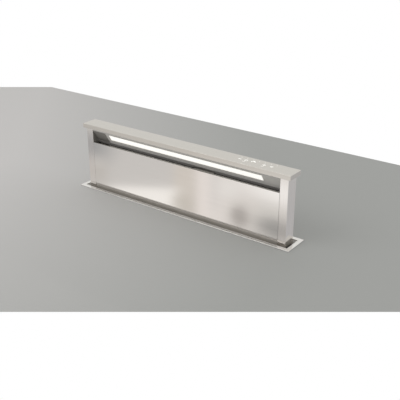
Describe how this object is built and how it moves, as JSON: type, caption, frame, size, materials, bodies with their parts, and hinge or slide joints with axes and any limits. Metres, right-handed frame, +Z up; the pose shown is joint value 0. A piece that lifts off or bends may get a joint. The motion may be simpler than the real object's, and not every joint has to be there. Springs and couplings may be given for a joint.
{
  "type": "downdraft vent",
  "caption": "Pop-up worktop downdraft vent: a slim brushed steel tower with a lit intake slot and flat cap, rising from a casing with lift drive, blower and exhaust collar.",
  "frame": {"origin": "middle of the worktop cut-out, on the surface of the worktop", "axes": "+X along the width to the right as seen from the front, +Y to the back, +Z up"},
  "size_m": [0.9608, 0.2931, 0.838],
  "materials": {
    "brushed_steel": "vertical and lengthwise brushed",
    "flange_steel": "fine brushed, bright edges",
    "dark_steel": "satin",
    "galvanised": "zinc spangle",
    "zinc_plate": "bright zinc",
    "ball_steel": "polished",
    "screw_steel": "rolled thread, oiled",
    "brass": "turned",
    "aluminium": "mill finish",
    "black_plastic": "fine texture",
    "grey_plastic": "moulded",
    "white_plastic": "moulded",
    "light_diffuser": "frosted, lit from behind",
    "board_green": "solder mask",
    "rubber": "matt",
    "foam": "closed cell foam"
  },
  "bodies": {
    "housing": {"counter_flange": "flange_steel", "flange_gasket": "foam", "wiper_seal": "rubber", "casing_front": "galvanised", "casing_back": "galvanised", "casing_left": "galvanised", "casing_right": "galvanised", "casing_bottom": "galvanised", "clamp_bracket_left": "zinc_plate", "clamp_bracket_right": "zinc_plate", "clamp_screw_left": "zinc_plate", "clamp_screw_right": "zinc_plate", "wall_bracket_left": "zinc_plate", "wall_bracket_right": "zinc_plate", "slide_outer_left": "zinc_plate", "slide_outer_right": "zinc_plate", "screw_bearing_left": "zinc_plate", "screw_bearing_right": "zinc_plate", "sync_belt": "rubber", "lift_motor": "zinc_plate", "blower_box": "galvanised", "blower_cover": "galvanised", "scroll_housing": "black_plastic", "inlet_ring": "zinc_plate", "blower_motor": "zinc_plate", "exhaust_collar": "galvanised", "control_box": "galvanised", "control_box_lid": "galvanised", "control_board": "board_green", "cable_gland": "black_plastic"},
    "lift": {"top_cap": "brushed_steel", "cap_base": "dark_steel", "touch_module": "black_plastic", "pillar_left": "brushed_steel", "pillar_right": "brushed_steel", "back_panel": "brushed_steel", "front_apron": "dark_steel", "light_housing": "dark_steel", "light_board": "white_plastic", "light_diffuser": "light_diffuser", "filter_stop": "dark_steel", "filter_channel": "galvanised", "slide_inner_left": "zinc_plate", "slide_inner_right": "zinc_plate", "lift_nut_left": "brass", "lift_nut_right": "brass"},
    "panel": {"front_panel": "brushed_steel"},
    "filter_left": {"filter_left": "aluminium"},
    "filter_right": {"filter_right": "aluminium"},
    "ball_cage_left": {"ball_cage_left": "ball_steel"},
    "ball_cage_right": {"ball_cage_right": "ball_steel"},
    "screw_left": {"lift_screw_left": "screw_steel", "sync_pulley_left": "aluminium"},
    "screw_right": {"lift_screw_right": "screw_steel", "sync_pulley_right": "aluminium", "drive_gear": "white_plastic"},
    "pinion": {"motor_pinion": "brass"},
    "impeller": {"impeller": "grey_plastic"},
    "flap": {"damper_flap": "aluminium"}
  },
  "joints": [
    {"name": "lift_slide", "type": "slide", "parent": "housing", "child": "lift", "axis": [0, 0, 1], "range_m": [-0.245, 0]},
    {"name": "panel_tilt", "type": "hinge", "parent": "lift", "child": "panel", "pos_m": [0, -0.02, 0.0203], "axis": [1, 0, 0], "range_deg": [0, 30]},
    {"name": "filter_left_lift", "type": "slide", "parent": "lift", "child": "filter_left", "axis": [0, 0, 1], "range_m": [0, 0.0055]},
    {"name": "filter_right_lift", "type": "slide", "parent": "lift", "child": "filter_right", "axis": [0, 0, 1], "range_m": [0, 0.0055]},
    {"name": "ball_cage_left_slide", "type": "slide", "parent": "housing", "child": "ball_cage_left", "axis": [0, 0, 1], "range_m": [-0.1226, 0.0001]},
    {"name": "ball_cage_right_slide", "type": "slide", "parent": "housing", "child": "ball_cage_right", "axis": [0, 0, 1], "range_m": [-0.1226, 0.0001]},
    {"name": "screw_left_spin", "type": "hinge", "parent": "housing", "child": "screw_left", "pos_m": [-0.4165, 0, -0.5], "axis": [0, 0, 1], "range_deg": [-1, 7201]},
    {"name": "screw_right_spin", "type": "hinge", "parent": "housing", "child": "screw_right", "pos_m": [0.4165, 0, -0.5], "axis": [0, 0, 1], "range_deg": [-1, 7201]},
    {"name": "pinion_spin", "type": "hinge", "parent": "housing", "child": "pinion", "pos_m": [0.38317, 0, -0.56], "axis": [0, 0, 1], "range_deg": [-21603, 3]},
    {"name": "impeller_spin", "type": "hinge", "parent": "housing", "child": "impeller", "pos_m": [0, -0.1, -0.44], "axis": [0, 1, 0], "continuous": true},
    {"name": "flap_swing", "type": "hinge", "parent": "housing", "child": "flap", "pos_m": [0.2095, -0.1175, -0.351], "axis": [0, -1, 0], "range_deg": [0, 70]}
  ],
  "couplings": [
    {"joint": "ball_cage_left_slide", "follows": "lift_slide", "ratio": 0.5},
    {"joint": "ball_cage_right_slide", "follows": "lift_slide", "ratio": 0.5},
    {"joint": "screw_left_spin", "follows": "lift_slide", "rad_per_m": -512.91},
    {"joint": "screw_right_spin", "follows": "lift_slide", "rad_per_m": -512.91},
    {"joint": "pinion_spin", "follows": "lift_slide", "rad_per_m": 1538.7}
  ]
}
